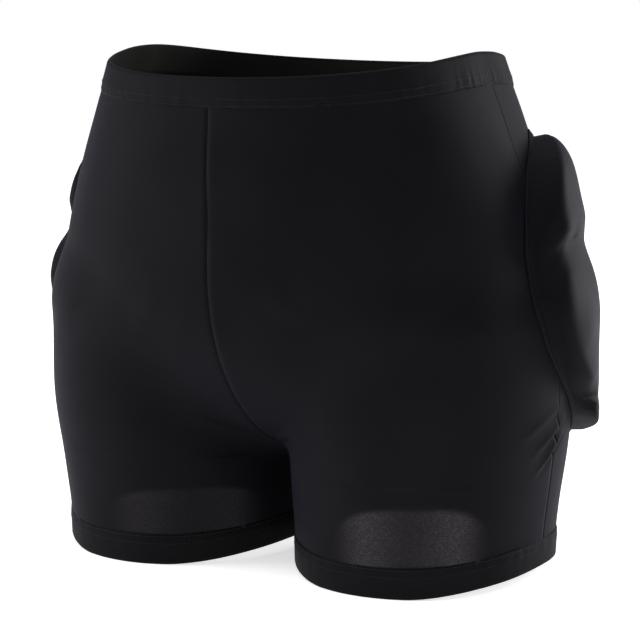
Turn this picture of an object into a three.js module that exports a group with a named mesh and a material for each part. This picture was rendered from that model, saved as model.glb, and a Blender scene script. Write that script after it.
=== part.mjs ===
// Padded impact shorts, worn under ski and snowboard trousers: a close-fitting stretch shell with
// foam pads sewn on at the hips, the buttocks and the tailbone. Drawn as it stands on a body.
// Millimetres, +Z up. The wearer faces -Y and the wearer's left is +X. The hems rest on z = 0 and
// the origin is the bottom centre of the bounding box.
import * as THREE from 'three';

// ---- Body form: the skin face that every layer is laid on ---------------------------------------
const HEIGHT = 328;              // hem to the top of the waistband, at the side
const HIP_Z = 152;               // fullest part of the hips
const HIGH_HIP_Z = 231;          // where the hips start to draw in to the waist
const HIP_HALF_WIDTH = 169;
const HIGH_HIP_DRAW_IN = 14;     // how far each side draws in from the hips
const WAIST_DRAW_IN = 50;
const BELLY_DEPTH = 121;         // centre plane to the front, the same from hip to waist
const HIP_BACK_DEPTH = 126;      // centre plane to the back of the seat
const HIGH_HIP_BACK_DEPTH = 124;
const WAIST_BACK_DEPTH = 112;
const TRUNK_SQUARENESS = 2.2;    // exponent of the trunk's section, 2 is an ellipse
const RISE_RADIUS = 125;         // round of the crotch curve, seen from the side
const RISE_CENTRE_Z = 199;
const LEG_TOP_Z = 160;           // above this the thighs are lost inside the trunk
const LEG_CAP = 60;
const THIGH_Z = 105;
const THIGH_BULGE = 5;           // how far the thigh stands out past the hips
const THIGH_PARTING = 4;         // centre plane to the inner thigh
const THIGH_HALF_DEPTH = 101;
const HEM_DRAW_IN = 10;          // how far the hem lies inside the thigh's outer line
const HEM_PARTING = 8;           // centre plane to the inner side of the hem
const HEM_HALF_DEPTH = 90;
const GROIN_BLEND = 16;          // how softly thigh and trunk run into each other

// ---- Edges -------------------------------------------------------------------------------------
const WAIST_FRONT_DIP = 13;      // the band sits lower at the front and the back than at the sides
const WAIST_BACK_DIP = 13;
const HEM_SIDE_RISE = 8;         // each hem is lowest, and flat, at the front and the back
const HEM_FLAT_SHARE = 0.32;

// ---- Layers, measured out from the skin face -------------------------------------------------
const GAP = 0.3;                 // left between layers that touch
const BAND_WALL = 0.9;           // fabric of the waistband and the hems
const SHELL = 1.2;               // stretch shell fabric
const ELASTIC = 1;               // elastic in the fold of a band, in line with the shell
const COVER = 1.2;               // fabric of the pad covers
const WAISTBAND_HEIGHT = 20;
const HEM_HEIGHT = 20;
const ELASTIC_HEIGHT = 12;
const FOLD = 1.2;                // fabric folded over at the top of the band and the foot of a hem
const TUCK = 4;                  // shell fabric tucked into the open edge of a band

// ---- Pads --------------------------------------------------------------------------------------
const PAD_GAP = 0.95;            // foam and covers over the shell, which is flatter between its corners
const PAD_RIM = 4;               // foam thickness at the skived edge of every pad
const COVER_SLACK = 0.8;         // cover fabric over the foam
const COVER_DRAPE = 7;           // how far past the foam its cover stands up, like a tent
const COVER_PASSES = 40;         // rounds of evening out that pull the cover taut between lobes
const SEAM_MARGIN = 7;           // from the edge of the foam to the sewn edge of its cover
const GROOVE = 4;                // between two foam lobes of one pad
const HIP_PAD = { top: 277, bottom: 79, upperFoot: 209, lowerFoot: 114, upper: 24, lower: 17, leaf: 16 };
const HIP_FRONT = { height: 190, reach: -30, bow: 46 / (80 * 80) };   // sewn edge nearest the front
const HIP_BACK = { height: 175, reach: 76, bow: -8 / (80 * 80) };    // sewn edge nearest the back
const HIP_REAR_SHARE = 0.62;     // thickness left at the back edge of the hip foam
const HIP_SAG = { drop: 15, run: 40, span: 52 };   // the upper groove drops towards the front edge
const SEAT_PAD = { top: 238, bottom: 124, split: 178, centre: 84, halfWidth: 45, thickness: 15 };
const TAIL_PAD = { top: 292, bottom: 190, halfWidth: 34, footHalfWidth: 18, thickness: 16 };

// ---- Places of the layers, out from the skin face ------------------------------------------------
const SHELL_IN = BAND_WALL + GAP;
const SHELL_OUT = SHELL_IN + SHELL;
const BAND_OUT = SHELL_OUT + GAP + BAND_WALL;
const PAD_IN = SHELL_OUT + PAD_GAP;

// ---- Form -------------------------------------------------------------------------------------
// Smooth value between stations [height, value]: it starts level and ends on the last slope.
function along(stations, z) {
  const last = stations.length - 1;
  if (z <= stations[0][0]) return stations[0][1];
  if (z >= stations[last][0]) return stations[last][1];
  const k = stations.findIndex((s, i) => i > 0 && z < s[0]);
  const slope = (i) => {
    if (i === 0) return 0;
    const next = Math.min(i + 1, last);
    return (stations[next][1] - stations[i - 1][1]) / (stations[next][0] - stations[i - 1][0]);
  };
  const [z0, a] = stations[k - 1];
  const [z1, b] = stations[k];
  const h = z1 - z0;
  const t = (z - z0) / h;
  const s = 1 - t;
  return a * s * s * (1 + 2 * t) + b * t * t * (3 - 2 * t)
    + h * t * s * (s * slope(k - 1) - t * slope(k));
}

const trunkHalfWidth = (z) => along([[HIP_Z, HIP_HALF_WIDTH],
  [HIGH_HIP_Z, HIP_HALF_WIDTH - HIGH_HIP_DRAW_IN], [HEIGHT, HIP_HALF_WIDTH - WAIST_DRAW_IN]], z);
const trunkBackDepth = (z) => along([[HIP_Z, HIP_BACK_DEPTH], [HIGH_HIP_Z, HIGH_HIP_BACK_DEPTH],
  [HEIGHT, WAIST_BACK_DEPTH]], z);
const onLeg = (hem, thigh) => (z) => along([[0, hem], [THIGH_Z, thigh], [LEG_TOP_Z, thigh]], z);
const THIGH_OUTER = HIP_HALF_WIDTH + THIGH_BULGE;
const legOuter = onLeg(THIGH_OUTER - HEM_DRAW_IN, THIGH_OUTER);
const legInner = onLeg(HEM_PARTING, THIGH_PARTING);
const legCentreX = (z) => (legOuter(z) + legInner(z)) / 2;
const legHalfWidth = (z) => (legOuter(z) - legInner(z)) / 2;
const legHalfDepth = onLeg(HEM_HALF_DEPTH, THIGH_HALF_DEPTH);

// The axis that each height is measured round: the thigh's below, half the trunk's width above.
const axisX = (z) => (z < THIGH_Z ? legCentreX(z)
  : along([[THIGH_Z, legCentreX(THIGH_Z)], [HIP_Z, trunkHalfWidth(HIP_Z) / 2],
    [HIGH_HIP_Z, trunkHalfWidth(HIGH_HIP_Z) / 2], [HEIGHT, trunkHalfWidth(HEIGHT) / 2]], z));

function trunk(x, y, z) {
  const n = TRUNK_SQUARENESS;
  const depth = y < 0 ? BELLY_DEPTH : trunkBackDepth(z);
  const ring = (Math.abs(x / trunkHalfWidth(z)) ** n + Math.abs(y / depth) ** n) ** (1 / n);
  const below = Math.max(0, (RISE_CENTRE_Z - z) / RISE_RADIUS);
  return (Math.hypot(ring, below) - 1) * BELLY_DEPTH;
}

function thigh(x, y, z) {
  const ring = Math.hypot((x - legCentreX(z)) / legHalfWidth(z), y / legHalfDepth(z));
  const above = Math.max(0, (z - LEG_TOP_Z) / LEG_CAP);
  return (Math.hypot(ring, above) - 1) * legHalfWidth(z);
}

// Below zero inside the body, zero on the skin face. Right and left are alike.
function form(x, y, z) {
  const a = trunk(x, y, z);
  const b = thigh(Math.abs(x), y, z);
  const near = Math.max(GROIN_BLEND - Math.abs(a - b), 0) / GROIN_BLEND;
  return Math.min(a, b) - near * near * GROIN_BLEND / 4;
}

// Distance from a point inside the form to its face, along a level direction. A line that runs
// towards the other leg stops at the centre plane.
function reach(x, y, z, dx, dy) {
  let inside = 0;
  let outside = x > 0 && dx < 0 ? -x / dx : 2 * HIP_HALF_WIDTH;
  for (let i = 0; i < 44; i++) {
    const r = (inside + outside) / 2;
    if (form(x + r * dx, y + r * dy, z) < 0) inside = r;
    else outside = r;
  }
  return inside;
}

function normal(p, level = 1) {
  const h = 0.05;
  return new THREE.Vector3(
    form(p.x + h, p.y, p.z) - form(p.x - h, p.y, p.z),
    form(p.x, p.y + h, p.z) - form(p.x, p.y - h, p.z),
    level * (form(p.x, p.y, p.z + h) - form(p.x, p.y, p.z - h)),
  ).normalize();
}

// Height of the crotch point, where the two legs part.
function crotchHeight() {
  let open = 0;
  let closed = RISE_CENTRE_Z;
  for (let i = 0; i < 44; i++) {
    const z = (open + closed) / 2;
    if (form(0, 0, z) < 0) closed = z;
    else open = z;
  }
  return closed;
}
const CROTCH_Z = crotchHeight();

// Angle round the axis from the side line to the edge of the left half: the centre line of the
// trunk, or below the crotch the inner thigh.
function edgeAngle(z, way) {
  if (z <= CROTCH_Z) return Math.PI;
  return Math.atan2(reach(0, 0, z, 0, way), -axisX(z));
}

// ---- The left half as a sheet: f runs from -1, centre front, over 0, the side, to 1, centre back.
const smooth = (t) => THREE.MathUtils.smoothstep(t, 0, 1);

function edgeHeight(f, t) {
  const sway = Math.abs(Math.cos(Math.PI * f));
  const rise = HEM_SIDE_RISE * (Math.max(0, sway - HEM_FLAT_SHARE) / (1 - HEM_FLAT_SHARE)) ** 1.5;
  const dip = (f < 0 ? WAIST_FRONT_DIP : WAIST_BACK_DIP) * Math.sin(Math.PI * f / 2) ** 2;
  return t + rise * Math.max(0, 1 - t / CROTCH_Z)
    - dip * smooth((t - HIGH_HIP_Z) / (HEIGHT - HIGH_HIP_Z));
}

// A point at share f round the left half, at nominal height t, out from the skin by offset.
// seam moves a sheet's own edge back by half the seam gap.
function skin(f, t, offset, seam = 0) {
  const z = edgeHeight(f, t);
  const way = f < 0 ? -1 : 1;
  const angle = Math.abs(f) * edgeAngle(z, way);
  const dx = Math.cos(angle);
  const dy = way * Math.sin(angle);
  const r = reach(axisX(z), 0, z, dx, dy);
  const p = new THREE.Vector3(axisX(z) + r * dx, r * dy, z);
  const level = smooth((t - HEM_HEIGHT) / HEM_HEIGHT)
    * smooth((HEIGHT - WAISTBAND_HEIGHT - t) / WAISTBAND_HEIGHT);
  const out = normal(p, level);
  const edge = Math.abs(f) === 1;
  const centre = edge && z > CROTCH_Z - seam;
  if (centre) out.setX(0).normalize();
  p.addScaledVector(out, offset);
  if (centre) p.x = seam;
  if (edge) p.y += way * seam;
  return p;
}

// ---- Solids -------------------------------------------------------------------------------------
// Closed body from loops of points: each loop joins the next, and the last the first if it rings,
// or flat ends close it.
function loft(loops, ring) {
  const n = loops[0].length;
  const index = [];
  const spans = ring ? loops.length : loops.length - 1;
  for (let i = 0; i < spans; i++) {
    const a = i * n;
    const b = ((i + 1) % loops.length) * n;
    for (let k = 0; k < n; k++) {
      const m = (k + 1) % n;
      index.push(a + k, a + m, b + m, a + k, b + m, b + k);
    }
  }
  return solid(loops.flat(), index);
}

// Closed sheet between two faces of rows x cols points, outer first.
function slab(rows, cols, at) {
  const points = [];
  for (const side of [1, 0]) {
    for (let j = 0; j <= rows; j++) {
      for (let i = 0; i <= cols; i++) points.push(at(i, j, side));
    }
  }
  const w = cols + 1;
  const inner = (rows + 1) * w;
  const index = [];
  const quad = (a, b, c, d) => index.push(a, b, c, a, c, d);
  for (let j = 0; j < rows; j++) {
    for (let i = 0; i < cols; i++) {
      const a = j * w + i;
      quad(a, a + 1, a + w + 1, a + w);
      quad(inner + a, inner + a + w, inner + a + w + 1, inner + a + 1);
    }
  }
  for (let i = 0; i < cols; i++) {
    const top = rows * w + i;
    quad(inner + i, inner + i + 1, i + 1, i);
    quad(top, top + 1, inner + top + 1, inner + top);
  }
  for (let j = 0; j < rows; j++) {
    const a = j * w;
    const b = a + cols;
    quad(a, a + w, inner + a + w, inner + a);
    quad(inner + b, inner + b + w, b + w, b);
  }
  return solid(points, index);
}

function solid(points, index) {
  const geometry = new THREE.BufferGeometry();
  geometry.setAttribute('position', new THREE.Float32BufferAttribute(
    points.flatMap((p) => [p.x, p.y, p.z]), 3));
  geometry.setIndex(index);
  return geometry;
}

// The same body for the wearer's right, with its faces turned to point out again.
function mirrored(geometry) {
  const copy = geometry.clone();
  copy.scale(-1, 1, 1);
  const { array } = copy.index;
  for (let i = 0; i < array.length; i += 3) [array[i + 1], array[i + 2]] = [array[i + 2], array[i + 1]];
  return copy;
}

const COLUMN_STEP = 12;          // hip half width per column in a quarter of the girth
const ROW_STEP = 17;             // height of a panel row at most
const QUARTER = Math.round(HIP_HALF_WIDTH / COLUMN_STEP);

// ---- Shell panels -----------------------------------------------------------------------------
// Heights of the grid's rows: even on the leg and the trunk, and by equal turns of the crotch curve.
function panelRows() {
  const foot = HEM_HEIGHT - TUCK;
  const head = HEIGHT - WAISTBAND_HEIGHT + TUCK;
  const round = RISE_CENTRE_Z - CROTCH_Z;
  const legRows = Math.ceil((CROTCH_Z - foot) / ROW_STEP);
  const crotchRows = Math.ceil(round * Math.PI / 2 / ROW_STEP);
  const trunkRows = Math.ceil((head - RISE_CENTRE_Z) / ROW_STEP);
  const rows = [];
  for (let k = 0; k < legRows; k++) rows.push(foot + (CROTCH_Z - foot) * k / legRows);
  for (let k = 0; k < crotchRows; k++) {
    rows.push(RISE_CENTRE_Z - round * Math.cos(Math.PI / 2 * k / crotchRows));
  }
  for (let k = 0; k <= trunkRows; k++) {
    rows.push(RISE_CENTRE_Z + (head - RISE_CENTRE_Z) * k / trunkRows);
  }
  return rows;
}

// Front or back panel of the left half, from the inner edge to the side seam.
function panel(way) {
  const heights = panelRows();
  return slab(heights.length - 1, QUARTER, (i, j, side) => {
    const share = i / QUARTER;
    const f = way < 0 ? share - 1 : share;
    const p = skin(f, heights[j], side ? SHELL_OUT : SHELL_IN, GAP / 2);
    if (f === 0) p.y += way * GAP / 2;
    return p;
  });
}

// ---- Waistband and hems -------------------------------------------------------------------------
// Ring round the whole waist: the left half from front to back, then the right half's mirror image.
function waistRing(profile) {
  const loops = [];
  for (let i = 0; i <= 2 * QUARTER; i++) {
    loops.push(profile.map(([offset, t]) => skin(i / QUARTER - 1, t, offset)));
  }
  for (let i = 2 * QUARTER - 1; i > 0; i--) {
    loops.push(loops[i].map((p) => new THREE.Vector3(-p.x, p.y, p.z)));
  }
  return loft(loops, true);
}

function legRing(profile) {
  const loops = [];
  for (let i = 0; i < 2 * QUARTER; i++) {
    loops.push(profile.map(([offset, t]) => skin(i / QUARTER - 1, t, offset)));
  }
  return loft(loops, true);
}

// Folded band: two walls joined at the edge height, open on the other edge, where the shell tucks in.
function foldedBand(edge, height) {
  const way = Math.sign(height);
  const outer = [[BAND_OUT, edge], [BAND_OUT, edge + height], [BAND_OUT - BAND_WALL, edge + height],
    [BAND_OUT - BAND_WALL, edge + way * FOLD]];
  const inner = [[BAND_WALL, edge + way * FOLD], [BAND_WALL, edge + height], [0, edge + height],
    [0, edge]];
  const loop = [...outer, ...inner];
  return way < 0 ? loop : loop.reverse();
}

// Flat elastic that fills the fold of a band.
function elastic(edge, way) {
  const near = edge + way * (FOLD + GAP);
  const far = near + way * ELASTIC_HEIGHT;
  const inside = (SHELL_IN + SHELL_OUT - ELASTIC) / 2;
  const outside = inside + ELASTIC;
  const loop = [[outside, near], [outside, far], [inside, far], [inside, near]];
  return way < 0 ? loop : loop.reverse();
}

// ---- Pads --------------------------------------------------------------------------------------
// Places on the form seen square on: hips from the side by (y, z), seat from behind by (x, z).
function hipPlace(y, level, offset) {
  const drop = HIP_SAG.drop * (1 - smooth((y - HIP_FRONT.reach) / HIP_SAG.run));
  const z = level - drop * smooth(1 - Math.abs(level - HIP_PAD.upperFoot) / HIP_SAG.span);
  const p = new THREE.Vector3(reach(0, y, z, 1, 0), y, z);
  return p.addScaledVector(normal(p), offset);
}

function rearPlace(x, z, offset) {
  const p = new THREE.Vector3(x, reach(x, 0, z, 0, 1), z);
  return p.addScaledVector(normal(p), offset);
}

// Edge line of a pad across its height.
const edgeLine = (line) => (z) => line.reach + line.bow * (z - line.height) ** 2;

// The outline of a pad's cover: two edge lines between two heights. It turns its corners in. turn is
// the way its width runs, so that the faces of what is laid on it point out.
const HIP_OUTLINE = {
  low: edgeLine(HIP_FRONT),
  high: edgeLine(HIP_BACK),
  top: HIP_PAD.top,
  bottom: HIP_PAD.bottom,
  place: hipPlace,
  turn: 1,
};
const seatSpread = (z) => SEAT_PAD.halfWidth
  * (1 - 0.4 * (2 * (z - SEAT_PAD.split) / (SEAT_PAD.top - SEAT_PAD.bottom)) ** 2);
const SEAT_OUTLINE = {
  low: (z) => SEAT_PAD.centre - seatSpread(z),
  high: (z) => SEAT_PAD.centre + seatSpread(z),
  top: SEAT_PAD.top,
  bottom: SEAT_PAD.bottom,
  place: rearPlace,
  turn: -1,
};
const tailSpread = (z) => THREE.MathUtils.mapLinear(z, TAIL_PAD.bottom, TAIL_PAD.top,
  TAIL_PAD.footHalfWidth, TAIL_PAD.halfWidth);
const TAIL_OUTLINE = {
  low: (z) => -tailSpread(z),
  high: tailSpread,
  top: TAIL_PAD.top,
  bottom: TAIL_PAD.bottom,
  place: rearPlace,
  turn: -1,
};

// One foam lobe inside an outline, between two heights.
function lobe(outline, bottom, top, thickness, farShare = 1) {
  return {
    low: (z) => outline.low(z) + SEAM_MARGIN,
    high: (z) => outline.high(z) - SEAM_MARGIN,
    place: outline.place,
    turn: outline.turn,
    bottom,
    top,
    thickness,
    farShare,
  };
}

const HIP_LOBES = {
  hip_pad_upper: lobe(HIP_OUTLINE, HIP_PAD.upperFoot + GROOVE / 2, HIP_PAD.top - SEAM_MARGIN,
    HIP_PAD.upper, HIP_REAR_SHARE),
  hip_pad_lower: lobe(HIP_OUTLINE, HIP_PAD.lowerFoot + GROOVE / 2, HIP_PAD.upperFoot - GROOVE / 2,
    HIP_PAD.lower, HIP_REAR_SHARE),
  thigh_pad: lobe(HIP_OUTLINE, HIP_PAD.bottom + SEAM_MARGIN, HIP_PAD.lowerFoot - GROOVE / 2,
    HIP_PAD.leaf, HIP_REAR_SHARE),
};
const SEAT_LOBES = {
  seat_pad_upper: lobe(SEAT_OUTLINE, SEAT_PAD.split + GROOVE / 2, SEAT_PAD.top - SEAM_MARGIN,
    SEAT_PAD.thickness),
  seat_pad_lower: lobe(SEAT_OUTLINE, SEAT_PAD.bottom + SEAM_MARGIN, SEAT_PAD.split - GROOVE / 2,
    SEAT_PAD.thickness),
};
const TAIL_LOBE = lobe(TAIL_OUTLINE, TAIL_PAD.bottom + SEAM_MARGIN, TAIL_PAD.top - SEAM_MARGIN,
  TAIL_PAD.thickness);

// A square's shares p, q, from -1 to 1, laid on an outline whose corners are turned in.
const CORNER = 0.75;
function outlinePoint(outline, p, q) {
  const across = p * Math.sqrt(1 - CORNER * q * q / 2);
  const up = q * Math.sqrt(1 - CORNER * p * p / 2);
  const z = (outline.top + outline.bottom) / 2 + up * (outline.top - outline.bottom) / 2;
  return [THREE.MathUtils.lerp(outline.low(z), outline.high(z), (across + 1) / 2), z];
}

// The shares p, q of a place on the outline, found by turning the corners out again in a few steps.
function outlineShares(outline, s, z) {
  const up = (2 * z - outline.top - outline.bottom) / (outline.top - outline.bottom);
  const low = outline.low(z);
  const across = 2 * (s - low) / (outline.high(z) - low) - 1;
  let p = across;
  let q = up;
  for (let i = 0; i < 6; i++) {
    p = across / Math.sqrt(1 - CORNER * Math.min(q * q, 1) / 2);
    q = up / Math.sqrt(1 - CORNER * Math.min(p * p, 1) / 2);
  }
  return [p, q];
}

// Foam height over the shell: skived at the rim, crowned in the middle, none past the edge.
function crown(part, p, q) {
  if (Math.abs(p) > 1 || Math.abs(q) > 1) return 0;
  const edge = (1 - p ** 4) * (1 - q ** 4);
  const lean = 1 - (1 - part.farShare) * (p + 1) / 2;
  return PAD_RIM + (part.thickness * lean - PAD_RIM) * Math.sqrt(edge);
}

// Shares that crowd towards both edges, where the foam is steepest.
const edgewise = (n) => Array.from({ length: n + 1 },
  (_, i) => Math.sin(Math.PI / 2 * (2 * i / n - 1)));

function foam(part, cols = 8, rows = 8) {
  const ps = edgewise(cols);
  const qs = edgewise(rows);
  return slab(rows, cols, (i, j, side) => {
    const p = part.turn * ps[i];
    const [s, z] = outlinePoint(part, p, qs[j]);
    return part.place(s, z, PAD_IN + (side ? crown(part, p, qs[j]) : 0));
  });
}

// Cover fabric: sewn down along its edge, over the highest foam within its drape, and pulled taut.
function cover(outline, lobes, cols, rows) {
  const steps = [-1, -0.5, 0, 0.5, 1];
  const ps = edgewise(cols);
  const qs = edgewise(rows);
  const height = (s, z) => COVER_SLACK + Math.max(...lobes.flatMap((part) => steps.flatMap(
    (a) => steps.map((b) => crown(part,
      ...outlineShares(part, s + a * COVER_DRAPE, z + b * COVER_DRAPE))))));
  const place = (i, j) => outlinePoint(outline, outline.turn * ps[i], qs[j]);
  const sewn = (i, j) => i === 0 || j === 0 || i === cols || j === rows;
  const grid = (value) => qs.map((_, j) => ps.map((__, i) => (sewn(i, j) ? 0 : value(i, j))));
  const least = grid((i, j) => height(...place(i, j)));
  let rise = least;
  for (let pass = 0; pass < COVER_PASSES; pass++) {
    const last = rise;
    rise = grid((i, j) => Math.max(least[j][i],
      (last[j - 1][i] + last[j + 1][i] + last[j][i - 1] + last[j][i + 1]) / 4));
  }
  return slab(rows, cols, (i, j, side) => outline.place(...place(i, j),
    PAD_IN + rise[j][i] + (side ? COVER : 0)));
}

const group = new THREE.Group();
const fabric = (color) => new THREE.MeshStandardMaterial({ color, roughness: 0.8, metalness: 0 });

function add(name, geometry, material) {
  const mesh = new THREE.Mesh(geometry, material);
  mesh.name = name;
  group.add(mesh);
}

function addPair(name, geometry, material) {
  add(`${name}_left`, geometry, material);
  add(`${name}_right`, mirrored(geometry), material.clone());
}

addPair('front_panel', panel(-1), fabric('#17161b'));
addPair('back_panel', panel(1), fabric('#17161b'));
add('waistband', waistRing(foldedBand(HEIGHT, -WAISTBAND_HEIGHT)), fabric('#1b1a20'));
add('waist_elastic', waistRing(elastic(HEIGHT, -1)), fabric('#2a2a2c'));
addPair('leg_hem', legRing(foldedBand(0, HEM_HEIGHT)), fabric('#1b1a20'));
addPair('leg_elastic', legRing(elastic(0, 1)), fabric('#2a2a2c'));

for (const [name, part] of Object.entries({ ...HIP_LOBES, ...SEAT_LOBES })) {
  addPair(name, foam(part), fabric('#3a3a3e'));
}
addPair('hip_pad_cover', cover(HIP_OUTLINE, Object.values(HIP_LOBES), 10, 24), fabric('#201d2b'));
addPair('seat_pad_cover', cover(SEAT_OUTLINE, Object.values(SEAT_LOBES), 10, 14), fabric('#201d2b'));
add('tailbone_pad', foam(TAIL_LOBE), fabric('#3a3a3e'));
add('tailbone_pad_cover', cover(TAIL_OUTLINE, [TAIL_LOBE], 8, 12), fabric('#201d2b'));

const box = new THREE.Box3().setFromObject(group);
group.position.set(-(box.min.x + box.max.x) / 2, -(box.min.y + box.max.y) / 2, 0);

export default group;
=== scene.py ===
import math

import bpy
import numpy as np
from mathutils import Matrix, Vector


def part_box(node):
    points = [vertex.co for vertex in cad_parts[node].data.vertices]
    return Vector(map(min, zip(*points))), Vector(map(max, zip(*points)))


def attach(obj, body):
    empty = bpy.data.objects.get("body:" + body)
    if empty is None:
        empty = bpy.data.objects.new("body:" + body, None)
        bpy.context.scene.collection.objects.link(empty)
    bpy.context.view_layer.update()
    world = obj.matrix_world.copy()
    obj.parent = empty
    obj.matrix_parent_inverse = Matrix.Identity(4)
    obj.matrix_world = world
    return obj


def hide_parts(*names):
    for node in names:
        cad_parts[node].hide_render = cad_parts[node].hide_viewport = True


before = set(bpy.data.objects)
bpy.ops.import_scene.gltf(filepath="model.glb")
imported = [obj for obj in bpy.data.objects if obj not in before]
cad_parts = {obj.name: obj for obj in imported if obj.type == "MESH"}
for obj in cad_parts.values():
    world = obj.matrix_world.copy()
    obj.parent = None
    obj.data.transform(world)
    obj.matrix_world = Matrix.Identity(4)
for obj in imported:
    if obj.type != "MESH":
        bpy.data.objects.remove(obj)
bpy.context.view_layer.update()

MM = 0.001

# ---- Sizes --------------------------------------------------------------------------------------
waist_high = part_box("waistband")[1]
hem_low, hem_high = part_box("leg_hem_left")
HEIGHT = waist_high.z / MM
BODY_Y = (hem_low.y + hem_high.y) / 2 / MM   # the thighs' centre line, front to back

# Body form, the skin face that every layer is laid on.
HIP_Z = 152
HIGH_HIP_Z = 231
HIP_HALF_WIDTH = 169
HIGH_HIP_DRAW_IN = 14
WAIST_DRAW_IN = 50
BELLY_DEPTH = 121
HIP_BACK_DEPTH = 126
HIGH_HIP_BACK_DEPTH = 124
WAIST_BACK_DEPTH = 112
TRUNK_SQUARENESS = 2.2
RISE_RADIUS = 125
RISE_CENTRE_Z = 199
LEG_TOP_Z = 160
LEG_CAP = 60
THIGH_Z = 105
THIGH_BULGE = 5
THIGH_PARTING = 4
THIGH_HALF_DEPTH = 101
HEM_DRAW_IN = 10
HEM_PARTING = 8
HEM_HALF_DEPTH = 90
GROIN_BLEND = 16
WAIST_FRONT_DIP = 13
WAIST_BACK_DIP = 13
HEM_SIDE_RISE = 8
HEM_FLAT_SHARE = 0.32

# Layers, out from the skin face.
SHELL_IN = 1.3
SHELL_OUT = 2.4
BAND_OUT = 3.4
BAND_WALL = 0.8
BAND_LIP = 0.35          # how far a band's stitched edge stands over the shell
WAISTBAND_HEIGHT = 20
HEM_HEIGHT = 20
ELASTIC_FOLD = 2.0       # from a band's folded edge to its elastic
ELASTIC_HEIGHT = 12
TUCK = 3.5
SEAM_GAP = 0.002         # panels all but meet at a seam

# Pads.
PAD_IN = 3.35            # underside of foam and covers
COVER = 0.7              # cover fabric
COVER_EDGE = SHELL_OUT + 0.9
PAD_RIM = 4
SEAM_MARGIN = 7
GROOVE = 4
HIP_TOP, HIP_BOTTOM = 277, 79
HIP_UPPER_FOOT, HIP_LOWER_FOOT = 209, 114
HIP_FRONT = (190, -30, 46 / 80 ** 2)   # height, reach and bow of the sewn edge nearest the front
HIP_BACK = (175, 76, -8 / 80 ** 2)
HIP_REAR_SHARE = 0.62
SEAT_TOP, SEAT_BOTTOM, SEAT_SPLIT, SEAT_CENTRE, SEAT_HALF_WIDTH = 238, 124, 178, 84, 45
TAIL_TOP, TAIL_BOTTOM, TAIL_HALF_WIDTH, TAIL_FOOT_HALF_WIDTH = 292, 190, 34, 18
CORNER = 0.75

CELL = 2.2   # side of a cell of the fabric grids


# ---- Form ---------------------------------------------------------------------------------------
def smooth(t):
    t = np.clip(t, 0, 1)
    return t * t * (3 - 2 * t)


def along(stations, z):
    """Smooth value between stations (height, value): it starts level and ends on the last slope."""
    heights, values = np.array(stations, float).T
    last = len(heights) - 1
    slopes = np.zeros(last + 1)
    for i in range(1, last + 1):
        ahead = min(i + 1, last)
        slopes[i] = (values[ahead] - values[i - 1]) / (heights[ahead] - heights[i - 1])
    k = np.clip(np.searchsorted(heights, z, side="right"), 1, last)
    h = heights[k] - heights[k - 1]
    t = np.clip((z - heights[k - 1]) / h, 0, 1)
    s = 1 - t
    return (values[k - 1] * s * s * (1 + 2 * t) + values[k] * t * t * (3 - 2 * t)
            + h * t * s * (s * slopes[k - 1] - t * slopes[k]))


def trunk_half_width(z):
    return along([(HIP_Z, HIP_HALF_WIDTH), (HIGH_HIP_Z, HIP_HALF_WIDTH - HIGH_HIP_DRAW_IN),
                  (HEIGHT, HIP_HALF_WIDTH - WAIST_DRAW_IN)], z)


def trunk_back_depth(z):
    return along([(HIP_Z, HIP_BACK_DEPTH), (HIGH_HIP_Z, HIGH_HIP_BACK_DEPTH),
                  (HEIGHT, WAIST_BACK_DEPTH)], z)


def on_leg(hem, thigh, z):
    return along([(0, hem), (THIGH_Z, thigh), (LEG_TOP_Z, thigh)], z)


THIGH_OUTER = HIP_HALF_WIDTH + THIGH_BULGE


def leg_outer(z):
    return on_leg(THIGH_OUTER - HEM_DRAW_IN, THIGH_OUTER, z)


def leg_inner(z):
    return on_leg(HEM_PARTING, THIGH_PARTING, z)


def leg_centre_x(z):
    return (leg_outer(z) + leg_inner(z)) / 2


def leg_half_width(z):
    return (leg_outer(z) - leg_inner(z)) / 2


def axis_x(z):
    """The upright axis that a height is measured round: the thigh's, or half the trunk's width."""
    above = along([(THIGH_Z, leg_centre_x(THIGH_Z)), (HIP_Z, trunk_half_width(HIP_Z) / 2),
                   (HIGH_HIP_Z, trunk_half_width(HIGH_HIP_Z) / 2),
                   (HEIGHT, trunk_half_width(HEIGHT) / 2)], z)
    return np.where(z < THIGH_Z, leg_centre_x(z), above)


def trunk(x, y, z):
    depth = np.where(y < 0, BELLY_DEPTH, trunk_back_depth(z))
    ring = (np.abs(x / trunk_half_width(z)) ** TRUNK_SQUARENESS
            + np.abs(y / depth) ** TRUNK_SQUARENESS) ** (1 / TRUNK_SQUARENESS)
    below = np.maximum(0, (RISE_CENTRE_Z - z) / RISE_RADIUS)
    return (np.hypot(ring, below) - 1) * BELLY_DEPTH


def thigh(x, y, z):
    ring = np.hypot((x - leg_centre_x(z)) / leg_half_width(z),
                    y / on_leg(HEM_HALF_DEPTH, THIGH_HALF_DEPTH, z))
    above = np.maximum(0, (z - LEG_TOP_Z) / LEG_CAP)
    return (np.hypot(ring, above) - 1) * leg_half_width(z)


def form(x, y, z):
    """Below zero inside the body, zero on the skin face."""
    a = trunk(x, y, z)
    b = thigh(np.abs(x), y, z)
    near = np.maximum(GROIN_BLEND - np.abs(a - b), 0) / GROIN_BLEND
    return np.minimum(a, b) - near * near * GROIN_BLEND / 4


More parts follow.
